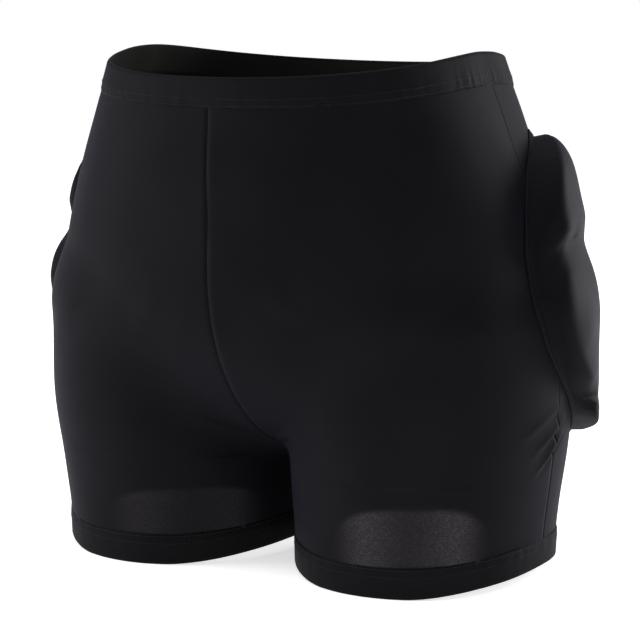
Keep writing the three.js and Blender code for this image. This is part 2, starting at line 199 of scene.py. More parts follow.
def reach(x, y, z, dx, dy):
    """Distance to the skin face along a level direction. It stops at the centre plane."""
    x, y, z, dx, dy = np.broadcast_arrays(*(np.asarray(v, float) for v in (x, y, z, dx, dy)))
    inside = np.zeros(x.shape)
    outside = np.full(x.shape, 2.0 * HIP_HALF_WIDTH)
    crossing = (x > 0) & (dx < 0)
    outside[crossing] = -x[crossing] / dx[crossing]
    for _ in range(36):
        middle = (inside + outside) / 2
        within = form(x + middle * dx, y + middle * dy, z) < 0
        inside = np.where(within, middle, inside)
        outside = np.where(within, outside, middle)
    return inside


def normal(p, level=1.0):
    h = 0.05
    x, y, z = p[..., 0], p[..., 1], p[..., 2]
    n = np.stack([form(x + h, y, z) - form(x - h, y, z), form(x, y + h, z) - form(x, y - h, z),
                  level * (form(x, y, z + h) - form(x, y, z - h))], -1)
    return n / np.linalg.norm(n, axis=-1, keepdims=True)


def crotch_height():
    low, high = 0.0, float(RISE_CENTRE_Z)
    for _ in range(44):
        middle = (low + high) / 2
        if form(0.0, 0.0, middle) < 0:
            high = middle
        else:
            low = middle
    return high


CROTCH_Z = crotch_height()


def edge_angle(z, way):
    on_trunk = np.arctan2(reach(0, 0, z, 0, way), -axis_x(z))
    return np.where(z <= CROTCH_Z, math.pi, on_trunk)


def edge_height(f, t):
    sway = np.abs(np.cos(math.pi * f))
    rise = HEM_SIDE_RISE * (np.maximum(0, sway - HEM_FLAT_SHARE) / (1 - HEM_FLAT_SHARE)) ** 1.5
    dip = np.where(f < 0, WAIST_FRONT_DIP, WAIST_BACK_DIP) * np.sin(math.pi * f / 2) ** 2
    return (t + rise * np.maximum(0, 1 - t / CROTCH_Z)
            - dip * smooth((t - HIGH_HIP_Z) / (HEIGHT - HIGH_HIP_Z)))


def skin(f, t, offset, seam=0.0):
    """Points at share f round the left half (-1 centre front, 0 side, 1 centre back) and nominal
    height t, out from the skin by offset, with the sheet's own edge moved back by seam."""
    f, t, offset = np.broadcast_arrays(*(np.asarray(v, float) for v in (f, t, offset)))
    z = edge_height(f, t)
    way = np.where(f < 0, -1.0, 1.0)
    angle = np.abs(f) * edge_angle(z, way)
    dx, dy = np.cos(angle), way * np.sin(angle)
    r = reach(axis_x(z), 0, z, dx, dy)
    p = np.stack([axis_x(z) + r * dx, r * dy, z], -1)
    level = (smooth((t - HEM_HEIGHT) / HEM_HEIGHT)
             * smooth((HEIGHT - WAISTBAND_HEIGHT - t) / WAISTBAND_HEIGHT))
    out = normal(p, level)
    edge = np.abs(f) == 1
    centre = edge & (z > CROTCH_Z - seam)
    out[..., 0] = np.where(centre, 0, out[..., 0])
    out /= np.linalg.norm(out, axis=-1, keepdims=True)
    p = p + out * offset[..., None]
    p[..., 0] = np.where(centre, seam, p[..., 0])
    p[..., 1] += np.where(edge, way * seam, 0)
    return p


# ---- Meshes -------------------------------------------------------------------------------------
def to_frame(points, side=1):
    """Millimetres on the form to metres in the frame. side -1 is the wearer's right."""
    return (np.asarray(points, float) * (side, 1, 1) + (0, BODY_Y, 0)) * MM


def new_piece(name, points, faces, materials, spans=None, uv=None):
    """A piece from its points and faces. spans gives each face's material."""
    points = np.asarray(points, float)
    faces = [list(f) for f in faces]
    tris = np.array([(f[0], f[i], f[i + 1]) for f in faces for i in range(1, len(f) - 1)])
    a, b, c = (points[tris[:, i]] for i in range(3))
    if np.einsum("ij,ij->i", a, np.cross(b, c)).sum() < 0:
        faces = [f[::-1] for f in faces]
    mesh = bpy.data.meshes.new(name)
    mesh.from_pydata(points.tolist(), [], faces)
    for material in materials:
        mesh.materials.append(material)
    if spans is not None:
        mesh.polygons.foreach_set("material_index", np.asarray(spans, np.int32))
    if uv is not None:
        layer = mesh.uv_layers.new(name="weave")
        corners = np.zeros(len(mesh.loops), np.int32)
        mesh.loops.foreach_get("vertex_index", corners)
        layer.data.foreach_set("uv", uv[corners].astype(np.float32).ravel())
    mesh.polygons.foreach_set("use_smooth", np.ones(len(mesh.polygons), bool))
    mesh.update()
    piece = bpy.data.objects.new(name, mesh)
    bpy.context.collection.objects.link(piece)
    return piece


def grid_uv(outer):
    """Distances in metres across and up a grid of points, which the weave follows."""
    across = np.linalg.norm(np.diff(outer, axis=1), axis=-1)
    up = np.linalg.norm(np.diff(outer, axis=0), axis=-1)
    u = np.pad(np.cumsum(across, 1), ((0, 0), (1, 0)))
    u = np.broadcast_to(u[len(u) // 2], u.shape)
    v = np.pad(np.cumsum(up, 0), ((1, 0), (0, 0)))
    return np.stack([u, v], -1).reshape(-1, 2)


def closed_sheet(name, outer, inner, materials, side=1):
    """Sheet of fabric between two grids of points, its right side first and its lining second."""
    rows, cols = outer.shape[:2]
    outer, inner = to_frame(outer, side), to_frame(inner, side)
    points = np.concatenate([outer.reshape(-1, 3), inner.reshape(-1, 3)])
    at = np.arange(rows * cols).reshape(rows, cols)
    under = at + rows * cols
    a, b, c, d = at[:-1, :-1], at[:-1, 1:], at[1:, 1:], at[1:, :-1]
    face = np.stack([a, b, c, d], -1).reshape(-1, 4)
    back = np.stack([a, d, c, b], -1).reshape(-1, 4) + rows * cols
    rim = []
    ring = np.concatenate([at[0, :], at[1:, -1], at[-1, -2::-1], at[-2:0:-1, 0]])
    low = np.concatenate([under[0, :], under[1:, -1], under[-1, -2::-1], under[-2:0:-1, 0]])
    for i in range(len(ring)):
        j = (i + 1) % len(ring)
        rim.append((ring[j], ring[i], low[i], low[j]))
    faces = np.concatenate([face, back, np.array(rim)])
    spans = np.concatenate([np.zeros(len(face)), np.full(len(back), len(materials) - 1),
                            np.zeros(len(rim))])
    uv = grid_uv(outer)
    return new_piece(name, points, faces, materials, spans, np.concatenate([uv, uv]))


def ring_piece(name, loops, materials, closed=True, side=1, lining=None):
    """Band swept round from loops of points. lining marks the profile's spans that face in."""
    n = loops.shape[1]
    count = len(loops)
    points = to_frame(loops.reshape(-1, 3), side)
    at = np.arange(count * n).reshape(count, n)
    if closed:
        at = np.vstack([at, at[:1]])
    wrap = np.hstack([at, at[:, :1]])
    faces = np.stack([wrap[:-1, :-1], wrap[:-1, 1:], wrap[1:, 1:], wrap[1:, :-1]], -1)
    faces = faces.reshape(-1, 4)
    spans = np.zeros((len(at) - 1, n))
    if lining is not None:
        spans[:, lining] = len(materials) - 1
    metres = loops * MM
    u = np.cumsum(np.linalg.norm(np.diff(metres, axis=0, prepend=metres[:1]), axis=-1), 0)
    v = np.cumsum(np.linalg.norm(np.diff(metres, axis=1, prepend=metres[:, :1]), axis=-1), 1)
    u = np.broadcast_to(u[:, :1], v.shape)
    return new_piece(name, points, faces, materials, spans.ravel(),
                     np.stack([u, v], -1).reshape(-1, 2))


# ---- Relief of the fabric -----------------------------------------------------------------------
QUARTER_GIRTH = 262      # side seam to the centre line, round the hips


CENTRE_RIDGE = 2.2       # how far the centre front seam stands out, and how far the rise spreads
CENTRE_RIDGE_REACH = 26


class Waves:
    """Slow, shallow waves over a sheet, summed from a few directions."""

    def __init__(self, length, count, seed):
        draw = np.random.default_rng(seed)
        angle = draw.uniform(0, 2 * math.pi, count)
        pitch = 2 * math.pi / (length * draw.uniform(0.7, 1.5, count))
        self.kx, self.ky = pitch * np.cos(angle), pitch * np.sin(angle)
        self.phase = draw.uniform(0, 2 * math.pi, count)

    def __call__(self, u, v):
        total = sum(np.sin(kx * u + ky * v + p) for kx, ky, p in zip(self.kx, self.ky, self.phase))
        return total / math.sqrt(len(self.kx))


def fold(u, v, start, end, width, height, bow=0.0):
    """A soft fold along a line between two places, fading out at its ends, with the hollow that
    lies beside it."""
    (u0, v0), (u1, v1) = start, end
    length = math.hypot(u1 - u0, v1 - v0)
    du, dv = (u1 - u0) / length, (v1 - v0) / length
    s = ((u - u0) * du + (v - v0) * dv) / length
    d = (v - v0) * du - (u - u0) * dv - bow * 4 * s * (1 - s)
    fade = smooth(s / 0.3) * smooth((1 - s) / 0.45)
    dip = 0.55 * np.exp(-((d - 1.7 * width) / width) ** 2)
    return height * fade * (np.exp(-(d / width) ** 2) - dip)


def seam_relief(distance):
    """Ditch of a seam and the ridges that its allowance raises on both sides."""
    return -0.45 * np.exp(-(distance / 0.9) ** 2) + 0.12 * np.exp(-((distance - 2.8) / 1.6) ** 2)


SHELL_WAVES = {1: Waves(60, 9, 3), -1: Waves(55, 9, 5)}
# Folds of the shell by side: start (share, height), end, width, height and bow.
SHELL_FOLDS = {
    1: [
        ((-0.975, 84), (-0.81, 106), 2.6, 1.6, 3),
        ((-0.985, 79), (-0.86, 91), 2.2, -1.3, 2),
        ((0.09, 106), (-0.13, 82), 2.8, 2.0, -2),
        ((0.07, 97), (-0.10, 68), 2.5, 1.7, -2),
        ((0.04, 114), (-0.19, 95), 3.2, 1.3, -1),
        ((-0.78, 168), (-0.90, 196), 6.0, 0.7, 3),
    ],
    -1: [
        ((-0.975, 82), (-0.85, 98), 2.8, 1.2, 3),
        ((-0.78, 158), (-0.90, 186), 7.0, 0.8, 4),
        ((-0.40, 150), (-0.62, 182), 9.0, 0.8, 4),
        ((0.07, 102), (-0.12, 78), 2.8, 1.7, -2),
        ((0.05, 94), (-0.09, 68), 2.6, 1.5, -2),
    ],
}


def shell_relief(f, t, side):
    u, v = f * QUARTER_GIRTH, t
    calm = smooth((t - HEM_HEIGHT) / 30) * smooth((HEIGHT - WAISTBAND_HEIGHT - t) / 40)
    relief = 0.22 * SHELL_WAVES[side](u, v) * calm
    for start, end, width, height, bow in SHELL_FOLDS[side]:
        a = (start[0] * QUARTER_GIRTH, start[1])
        b = (end[0] * QUARTER_GIRTH, end[1])
        relief = relief + fold(u, v, a, b, width, height, bow)
    for edge, depth in ((-1, 1), (0, 0.12), (1, 1)):
        relief = relief + depth * seam_relief(np.abs(f - edge) * QUARTER_GIRTH)
    ridge = smooth((t - 110) / 60) * smooth((HEIGHT - WAISTBAND_HEIGHT - t) / 50)
    relief = relief + CENTRE_RIDGE * ridge * np.exp(-(1 + f) * QUARTER_GIRTH / CENTRE_RIDGE_REACH)
    return relief


# ---- Shell panels -------------------------------------------------------------------------------
def panel_heights():
    foot, head = HEM_HEIGHT - TUCK, HEIGHT - WAISTBAND_HEIGHT + TUCK
    round_part = RISE_CENTRE_Z - CROTCH_Z
    leg = np.linspace(foot, CROTCH_Z, round((CROTCH_Z - foot) / CELL), endpoint=False)
    turns = np.linspace(0, math.pi / 2, round(round_part * 1.3 / CELL), endpoint=False)
    rise = RISE_CENTRE_Z - round_part * np.cos(turns)
    trunk_rows = np.linspace(RISE_CENTRE_Z, head, round((head - RISE_CENTRE_Z) / CELL) + 1)
    return np.concatenate([leg, rise, trunk_rows])


def panel(name, way, side):
    heights = panel_heights()
    share = np.linspace(0, 1, round(QUARTER_GIRTH / CELL) + 1)
    f = share - 1 if way < 0 else share
    f, t = np.meshgrid(f, heights)
    relief = shell_relief(f, t, side)
    outer = skin(f, t, SHELL_OUT + relief, SEAM_GAP)
    inner = skin(f, t, SHELL_IN + relief, SEAM_GAP)
    for grid in (outer, inner):
        grid[..., 1] += np.where(f == 0, way * SEAM_GAP, 0)
    piece = closed_sheet(name, outer, inner, [shell_fabric, shell_lining], side)
    if way < 0:
        # Painted light: a mask for the paler colour that stands in for light shining through the
        # sheer knit at the thigh front
        painted_light_through = np.tile(painted_light_through_patch(f, t, side).ravel(), 2)
        layer = piece.data.attributes.new("painted_light_through", "FLOAT", "POINT")
        layer.data.foreach_set("value", painted_light_through.astype(np.float32))
    return piece


def painted_light_through_patch(f, t, side):
    """Painted light: where light shining through the stretched, semi-sheer knit over the front of the
    thigh is painted as a paler colour, from 0 to 1. It is weaker on the far leg.
    """
    centre, half, top, strength = (-0.385, 0.19, 59, 1.0) if side > 0 else (-0.655, 0.21, 52, 0.4)
    across = np.minimum(np.abs(f - centre) / half, 1)
    crest = HEM_HEIGHT + (top - HEM_HEIGHT) * np.sqrt(1 - across ** 3)
    below = smooth((crest - t) / 4)
    sides = smooth((1 - across) / 0.5)
    lobes = 0.72 + 0.28 * np.cos(2 * math.pi * ((f - centre) / half - 0.5) / 1.05)
    return below * sides * lobes * strength


# ---- Bands --------------------------------------------------------------------------------------
COVERSTITCH_ROWS = (1.6, 6.2)   # from a band's inner edge


def band_profile(edge, height):
    """Offsets and heights round a folded band, from its stitched edge over the fold to the raw
    inner edge and back. The outer wall thins to a lip where the stitches pull it down."""
    way = math.copysign(1, height)
    reach_up = abs(height)
    fold_radius = BAND_OUT / 2
    steps = np.linspace(0, 1, 13)
    wall_t = edge + way * (reach_up - steps * (reach_up - fold_radius))
    dip = np.exp(-((reach_up - np.abs(wall_t - edge) - 2.5) / 2.2) ** 2)
    thick = SHELL_OUT + BAND_LIP + (BAND_OUT - SHELL_OUT - BAND_LIP) * smooth(steps * reach_up / 5)
    outer = np.stack([thick - 0.25 * dip, wall_t], -1)
    turn = np.linspace(0, math.pi, 8)[1:-1]
    over = np.stack([fold_radius + fold_radius * np.cos(turn),
                     edge + way * fold_radius * (1 - np.sin(turn))], -1)
    inner_t = edge + way * np.linspace(fold_radius, reach_up, 7)
    inner = np.stack([np.zeros(7), inner_t], -1)
    back = np.stack([np.full(7, BAND_WALL), inner_t[::-1]], -1)
    inside = np.stack([[BAND_WALL, BAND_OUT - BAND_WALL], [edge + way * (fold_radius + 0.4)] * 2], -1)
    under_t = edge + way * np.linspace(fold_radius + 1.2, reach_up, 8)
    under_out = np.maximum(SHELL_OUT + 0.1, np.interp(
        np.abs(under_t - edge), [fold_radius, reach_up - 6, reach_up],
        [BAND_OUT - BAND_WALL, BAND_OUT - BAND_WALL, SHELL_OUT + 0.1]))
    under = np.stack([under_out, under_t], -1)
    profile = np.concatenate([outer, over, inner, back, inside, under])
    lining = np.arange(len(outer) + len(over), len(profile))
    return profile, lining


class BandWaves:
    """Small gathers of a band, deepest along its stitched edge."""

    def __init__(self, height, whole, seed):
        self.height = abs(height)
        self.gather = 0.17 if whole else 0.12
        self.ripple, self.slow = Waves(9, 7, seed), Waves(50, 5, seed + 2)

    def __call__(self, girth, from_edge):
        near_stitch = np.exp(-((self.height - from_edge - 4) / 5) ** 2)
        gathers = self.gather * self.ripple(girth, 0) * (0.25 + near_stitch)
        pucker = -0.12 * np.abs(np.sin(math.pi * girth / STITCH_PITCH)) * near_stitch
        return gathers + pucker, 0.2 * self.slow(girth, 40)


def band(name, edge, height, whole, seed, side=1):
    profile, lining = band_profile(edge, height)
    columns = round(2 * QUARTER_GIRTH / CELL)
    f = np.linspace(-1, 1, columns + 1)
    if not whole:
        f = f[:-1]
    facing = (profile[:, 0] > BAND_OUT / 2).astype(float)
    small, slow = BandWaves(height, whole, seed)(f[:, None] * QUARTER_GIRTH,
                                                 np.abs(profile[None, :, 1] - edge))
    loops = skin(f[:, None], profile[None, :, 1], profile[None, :, 0] + small * facing + slow)
    if whole:
        right = loops[-2:0:-1].copy()
        right[..., 0] *= -1
        loops = np.concatenate([loops, right])
    return ring_piece(name, loops, [band_fabric, shell_lining], True, side, lining)


def band_stitching(name, edge, height, whole, seed, side=1):
    """The two needle rows of a coverstitch along a band's inner edge."""
    waves = BandWaves(height, whole, seed)
    rows = []
    for from_lip in COVERSTITCH_ROWS:
        from_edge = abs(height) - from_lip
        thick = SHELL_OUT + BAND_LIP + (BAND_OUT - SHELL_OUT - BAND_LIP) * smooth(from_lip / 5)

        def offset(f, from_edge=from_edge, thick=thick):
            small, slow = waves(f * QUARTER_GIRTH, from_edge)
            return thick - 0.1 + small + slow

        rows += row_round(edge + math.copysign(from_edge, height), offset, whole)
    return stitching(name, rows, side)


def elastic(name, edge, way, whole, side=1):
    """Flat woven elastic in the fold of a band, ribbed along its length."""
    near = edge + way * ELASTIC_FOLD
    rise = np.linspace(0, ELASTIC_HEIGHT, 25)
    rib = 0.07 * np.cos(2 * math.pi * rise / 1.5)
    middle = (SHELL_IN + SHELL_OUT) / 2
    front = np.stack([middle + 0.4 + rib, near + way * rise], -1)
    back = np.stack([middle - 0.4 - rib, near + way * rise], -1)[::-1]
    profile = np.concatenate([front, back])
    columns = round(QUARTER_GIRTH / CELL)
    f = np.linspace(-1, 1, columns, endpoint=False) if not whole else np.linspace(-1, 1, columns + 1)
    loops = skin(f[:, None], profile[None, :, 1], np.broadcast_to(profile[None, :, 0],
                                                                (len(f), len(profile))))
    if whole:
        right = loops[-2:0:-1].copy()
        right[..., 0] *= -1
        loops = np.concatenate([loops, right])
    return ring_piece(name, loops, [elastic_weave], True, side)


# ---- Stitching ----------------------------------------------------------------------------------
STITCH_PITCH, STITCH_LENGTH, THREAD_RADIUS = 2.6, 2.0, 0.2


def unit(vectors):
    return vectors / np.maximum(np.linalg.norm(vectors, axis=-1, keepdims=True), 1e-9)


def stitch_row(points, normals):
    """Points and faces of one row of stitches along a line on the fabric: each stitch is a short
    length of thread that rises out of the knit and goes back in."""
    run = np.concatenate([[0], np.cumsum(np.linalg.norm(np.diff(points, axis=0), axis=1))])
    count = int(run[-1] // STITCH_PITCH)
    sides, stations = 5, 4
    share = np.linspace(-0.5, 0.5, stations)
    lift = np.array([-0.16, 0.16, 0.16, -0.16])
    middle = (np.arange(count) + 0.5) * run[-1] / max(count, 1)
    at = middle[:, None] + share[None] * STITCH_LENGTH
    centre = np.stack([np.interp(at, run, points[:, k]) for k in range(3)], -1)
    up = unit(np.stack([np.interp(at, run, normals[:, k]) for k in range(3)], -1))
    ahead = unit(np.gradient(centre, axis=1))
    across = unit(np.cross(ahead, up))
    centre = centre + up * lift[None, :, None]
    turn = np.arange(sides) * 2 * math.pi / sides
    ring = (centre[:, :, None] + THREAD_RADIUS * (across[:, :, None] * np.cos(turn)[:, None]
                                                  + up[:, :, None] * np.sin(turn)[:, None]))
    verts = ring.reshape(-1, 3)
    faces = []
    for k in range(count):
        base = k * sides * stations
        for i in range(stations - 1):
            for j in range(sides):
                m = (j + 1) % sides
                a, b = base + i * sides, base + (i + 1) * sides
                faces.append((a + j, a + m, b + m, b + j))
        faces.append(tuple(base + j for j in reversed(range(sides))))
        faces.append(tuple(base + (stations - 1) * sides + j for j in range(sides)))
    return verts, faces


def stitching(name, rows, side=1):
    verts, faces = [], []
    for points, normals in rows:
        row_verts, row_faces = stitch_row(points, normals)
        start = sum(len(v) for v in verts)
        verts.append(row_verts)
        faces += [tuple(i + start for i in f) for f in row_faces]
    piece = new_piece(name, to_frame(np.concatenate(verts), side), faces, [sewing_thread])
    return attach(piece, "root")


def row_round(t, offset, whole):
    """A row of stitches level round the waist or one leg, on the given offset(f)."""
    f = np.linspace(-1, 1, 420)
    points = skin(f, t, offset(f))
    under = skin(f, t, offset(f) - 1)
    rows = [(points, unit(points - under))]
    if whole:
        rows.append((points * (-1, 1, 1), unit(points - under) * (-1, 1, 1)))
    return rows


# ---- Pads ---------------------------------------------------------------------------------------
HIP_SAG = 15             # how far the hip pads' upper groove drops towards the front edge
HIP_SAG_REACH = 40       # behind the front edge
HIP_SAG_SPAN = 52        # above and below the groove


def hip_place(y, z, offset):
    """Places on the form seen square on from the side."""
    sag = HIP_SAG * (1 - smooth((y - HIP_FRONT[1]) / HIP_SAG_REACH))
    window = smooth(1 - np.abs(z - HIP_UPPER_FOOT) / HIP_SAG_SPAN)
    z = z - sag * window
    y, z, offset = np.broadcast_arrays(y, z, offset)
    p = np.stack([reach(0, y, z, 1, 0), y, z], -1)
    return p + normal(p) * offset[..., None]


def rear_place(x, z, offset):
    """Places on the form seen square on from behind."""
    x, z, offset = np.broadcast_arrays(x, z, offset)
    p = np.stack([x, reach(x, 0, z, 0, 1), z], -1)
    return p + normal(p) * offset[..., None]


def edge_line(line, z):
    height, reach_out, bow = line
    return reach_out + bow * (z - height) ** 2


def seat_spread(z):
    return SEAT_HALF_WIDTH * (1 - 0.4 * (2 * (z - SEAT_SPLIT) / (SEAT_TOP - SEAT_BOTTOM)) ** 2)


def tail_spread(z):
    share = (z - TAIL_BOTTOM) / (TAIL_TOP - TAIL_BOTTOM)
    return TAIL_FOOT_HALF_WIDTH + share * (TAIL_HALF_WIDTH - TAIL_FOOT_HALF_WIDTH)


class Outline:
    """A pad's outline: two edge lines between two heights, with its corners turned in."""

    def __init__(self, low, high, bottom, top, place):
        self.low, self.high, self.bottom, self.top, self.place = low, high, bottom, top, place

    def lobe(self, bottom, top, thickness, far_share=1.0, top_crisp=8,
             foot_crisp=8):
        inner = Outline(lambda z: self.low(z) + SEAM_MARGIN, lambda z: self.high(z) - SEAM_MARGIN,
                        bottom, top, self.place)
        inner.thickness, inner.far_share = thickness, far_share
        inner.top_crisp, inner.foot_crisp = top_crisp, foot_crisp
        return inner

    def point(self, p, q):
        across = p * np.sqrt(1 - CORNER * q * q / 2)
        up = q * np.sqrt(1 - CORNER * p * p / 2)
        z = (self.top + self.bottom) / 2 + up * (self.top - self.bottom) / 2
        low = self.low(z)
        return low + (self.high(z) - low) * (across + 1) / 2, z

    def shares(self, s, z):
        up = (2 * z - self.top - self.bottom) / (self.top - self.bottom)
        low = self.low(z)
        across = 2 * (s - low) / (self.high(z) - low) - 1
        p, q = across, up
        for _ in range(6):
            p = across / np.sqrt(1 - CORNER * np.minimum(q * q, 1) / 2)
            q = up / np.sqrt(1 - CORNER * np.minimum(p * p, 1) / 2)
        return p, q

    def crown(self, p, q, crisp=8):
        """Foam height: a skived rim, steep walls with rounded edges and a flat face."""
        a, b = np.minimum(np.abs(p), 1), np.minimum(np.abs(q), 1)
        edge = (1 - a ** crisp) * (1 - b ** np.where(q > 0, self.top_crisp, self.foot_crisp))
        lean = 1 - (1 - self.far_share) * (np.clip(p, -1, 1) + 1) / 2
        swell = 1 + 0.05 * (1 - a * a) * (1 - b * b)
        height = PAD_RIM + (self.thickness * lean * swell - PAD_RIM) * np.sqrt(edge)
        return np.where((np.abs(p) > 1) | (np.abs(q) > 1), 0, height)


HIP = Outline(lambda z: edge_line(HIP_FRONT, z), lambda z: edge_line(HIP_BACK, z),
              HIP_BOTTOM, HIP_TOP, hip_place)
HIP_LOBES = {
    "hip_pad_upper": HIP.lobe(HIP_UPPER_FOOT + GROOVE / 2, HIP_TOP - SEAM_MARGIN, 24, HIP_REAR_SHARE,
                              top_crisp=2.6),
    "hip_pad_lower": HIP.lobe(HIP_LOWER_FOOT + GROOVE / 2, HIP_UPPER_FOOT - GROOVE / 2, 17,
                              HIP_REAR_SHARE),
    "thigh_pad": HIP.lobe(HIP_BOTTOM + SEAM_MARGIN, HIP_LOWER_FOOT - GROOVE / 2, 16,
                          HIP_REAR_SHARE, foot_crisp=1.6),
}
SEAT = Outline(lambda z: SEAT_CENTRE - seat_spread(z), lambda z: SEAT_CENTRE + seat_spread(z),
               SEAT_BOTTOM, SEAT_TOP, rear_place)
SEAT_LOBES = {
    "seat_pad_upper": SEAT.lobe(SEAT_SPLIT + GROOVE / 2, SEAT_TOP - SEAM_MARGIN, 15),
    "seat_pad_lower": SEAT.lobe(SEAT_BOTTOM + SEAM_MARGIN, SEAT_SPLIT - GROOVE / 2, 15),
}
TAIL = Outline(lambda z: -tail_spread(z), tail_spread, TAIL_BOTTOM, TAIL_TOP, rear_place)
TAIL_LOBES = {"tailbone_pad": TAIL.lobe(TAIL_BOTTOM + SEAM_MARGIN, TAIL_TOP - SEAM_MARGIN, 16)}


def crowded(n):
    """Shares from -1 to 1 that crowd a little towards both ends."""
    even = np.linspace(-1, 1, n + 1)
    return 0.55 * even + 0.45 * np.sin(math.pi / 2 * even)


SEWN_STRIP = 5.6         # flat edge of a cover, with its two needle rows
GROOVE_RUN_IN = 26       # over which a sewn groove climbs from the edge seam onto the foam
GROOVE_HALF_WIDTH = 3.6
RELAX_STEPS = 900        # of evening out the cloth between what holds it


def cover_rise(outline, lobes, s, z, edge, grooves, cell):
    """Height of a cover over the shell: laid over the foam, sewn down round its edge and along its
    grooves, and pulled taut in between."""
    least = np.zeros(s.shape)
    for lobe in lobes:
        for step in (-cell, 0, cell):
            for lift in (-cell, 0, cell):
                least = np.maximum(least, lobe.crown(*lobe.shares(s + step, z + lift)))
    free = edge > SEWN_STRIP
    held = np.full(s.shape, np.inf)
    for height, depth_share in grooves:
        near = np.abs(z - height)
        line = near <= near.min(0, keepdims=True) + 1e-6
        run_in = smooth(np.minimum(s - outline.low(z), outline.high(z) - s) / GROOVE_RUN_IN)
        share = depth_share * (0.1 + 0.9 * run_in)
        held = np.where(line & free, least.max() * share, held)
        least = least * (share + (1 - share) * smooth(near / GROOVE_HALF_WIDTH))
    rise = np.where(free, least, 0)
    for _ in range(RELAX_STEPS):
        even = rise.copy()
        even[1:-1, 1:-1] = (rise[:-2, 1:-1] + rise[2:, 1:-1] + rise[1:-1, :-2] + rise[1:-1, 2:]) / 4
        rise = np.where(free, np.maximum(least, even), 0)
        rise = np.minimum(rise, held)
    return rise


TWIN_NEEDLE_ROWS = (1.4, 4.6)   # from a cover's sewn edge


def cover(name, outline, lobes, grooves, side, seed):
    width = np.mean(outline.high(outline.top * 0.5 + outline.bottom * 0.5)
                    - outline.low(outline.top * 0.5 + outline.bottom * 0.5))
    cell = CELL * 0.7
    p, q = np.meshgrid(crowded(round(width * 1.15 / cell)),
                       crowded(round((outline.top - outline.bottom) * 1.1 / cell)))
    s, z = outline.point(p, q)
    edge = (1 - np.abs(p)) * width / 2
    edge = np.minimum(edge, (1 - np.abs(q)) * (outline.top - outline.bottom) / 2)
    rise = cover_rise(outline, lobes, s, z, edge, grooves, cell)
    waves = Waves(26, 8, seed)
    loft_share = np.clip(rise / 8, 0, 1)
    along_edge = s + z * 0.9
    pucker = 0.2 * np.sin(2 * math.pi * along_edge / 7.5) * np.exp(-((edge - 7) / 3) ** 2)
    twin = -0.25 * sum(np.exp(-((edge - row) / 0.8) ** 2) for row in TWIN_NEEDLE_ROWS)
    relief = 0.18 * waves(s, z) * loft_share + pucker + twin
    base = COVER_EDGE + smooth(edge / 4) * (PAD_IN + COVER + 0.5 - COVER_EDGE)
    outer = outline.place(s, z, base + rise + relief)
    inner = outline.place(s, z, base + rise + relief - COVER)
    piece = closed_sheet(name, outer, inner, [cover_fabric, shell_lining], side)
    half = (width / 2, (outline.top - outline.bottom) / 2)
    rows = [edge_row(outer, inner, p[0], q[:, 0], inset, half) for inset in TWIN_NEEDLE_ROWS]
    return piece, stitching(name.replace("_fabric", "_stitching"), rows, side)


def edge_row(outer, inner, ps, qs, inset, half):
    """The line that runs round a cover's grid at a distance in from its edge, with its normals."""
    turn = np.linspace(-1, 1, 140, endpoint=False)
    ones = np.ones(len(turn))
    a, b = 1 - inset / half[0], 1 - inset / half[1]
    p = np.concatenate([turn * a, ones * a, -turn * a, -ones * a, turn[:1] * a])
    q = np.concatenate([-ones * b, turn * b, ones * b, -turn * b, -ones[:1] * b])
    i, j = np.interp(p, ps, np.arange(len(ps))), np.interp(q, qs, np.arange(len(qs)))
    i0, j0 = np.minimum(i.astype(int), len(ps) - 2), np.minimum(j.astype(int), len(qs) - 2)
    fi, fj = (i - i0)[:, None], (j - j0)[:, None]

    def sample(grid):
        return ((grid[j0, i0] * (1 - fi) + grid[j0, i0 + 1] * fi) * (1 - fj)
                + (grid[j0 + 1, i0] * (1 - fi) + grid[j0 + 1, i0 + 1] * fi) * fj)

    points = sample(outer)
    return points, unit(points - sample(inner))


FOAM_UNDER = 2.6         # drawn this much lower than its cover, for the foam to swell into
FOAM_INSET = 0.94        # and this share of its outline


def foam(name, lobe, side):
    """Closed foam body: its flat underside and its crowned face, in from the cover."""
    n = 26
    p, q = np.meshgrid(crowded(n), crowded(n))
    s, z = lobe.point(FOAM_INSET * p, FOAM_INSET * q)
    outer = lobe.place(s, z, PAD_IN + np.maximum(lobe.crown(p, q) - FOAM_UNDER, 1.5))
    inner = lobe.place(s, z, np.full(s.shape, PAD_IN))
    return closed_sheet(name, outer, inner, [foam_cells], side)


SWELL_FRAMES = 20
SWELL_PRESSURE = 4.0
SWELL_CAP = 1.2          # furthest a foam face may move
FOAM_VOXEL = 4


def coordinates(mesh):
    flat = np.zeros(len(mesh.vertices) * 3, np.float32)
    mesh.vertices.foreach_get("co", flat)
    return flat.reshape(-1, 3)


def swell(piece):
    """Blow a foam body up a little under its own pressure, as foam fills a tight cover."""
    bpy.ops.object.select_all(action="DESELECT")
    bpy.context.view_layer.objects.active = piece
    piece.select_set(True)
    voxels = piece.modifiers.new("voxels", "REMESH")
    voxels.mode, voxels.voxel_size = "VOXEL", FOAM_VOXEL * MM
    bpy.ops.object.modifier_apply(modifier=voxels.name)
    rest = coordinates(piece.data)
    cloth = piece.modifiers.new("swell", "CLOTH")
    cloth.settings.use_pressure = True
    cloth.settings.uniform_pressure_force = SWELL_PRESSURE
    cloth.settings.effector_weights.gravity = 0
    scene = bpy.context.scene
    for step in range(1, SWELL_FRAMES + 1):
        scene.frame_set(step)
    swollen = piece.evaluated_get(bpy.context.evaluated_depsgraph_get()).to_mesh()
    move = coordinates(swollen) - rest
    piece.modifiers.remove(cloth)
    scene.frame_set(1)
    length = np.linalg.norm(move, axis=1, keepdims=True)
    move *= np.minimum(1, SWELL_CAP * MM / np.maximum(length, 1e-9))
    piece.data.vertices.foreach_set("co", (rest + move).ravel())
    finer = piece.modifiers.new("finer", "SUBSURF")
    finer.levels = finer.render_levels = 1
    bpy.ops.object.modifier_apply(modifier=finer.name)
    piece.data.polygons.foreach_set("use_smooth", np.ones(len(piece.data.polygons), bool))


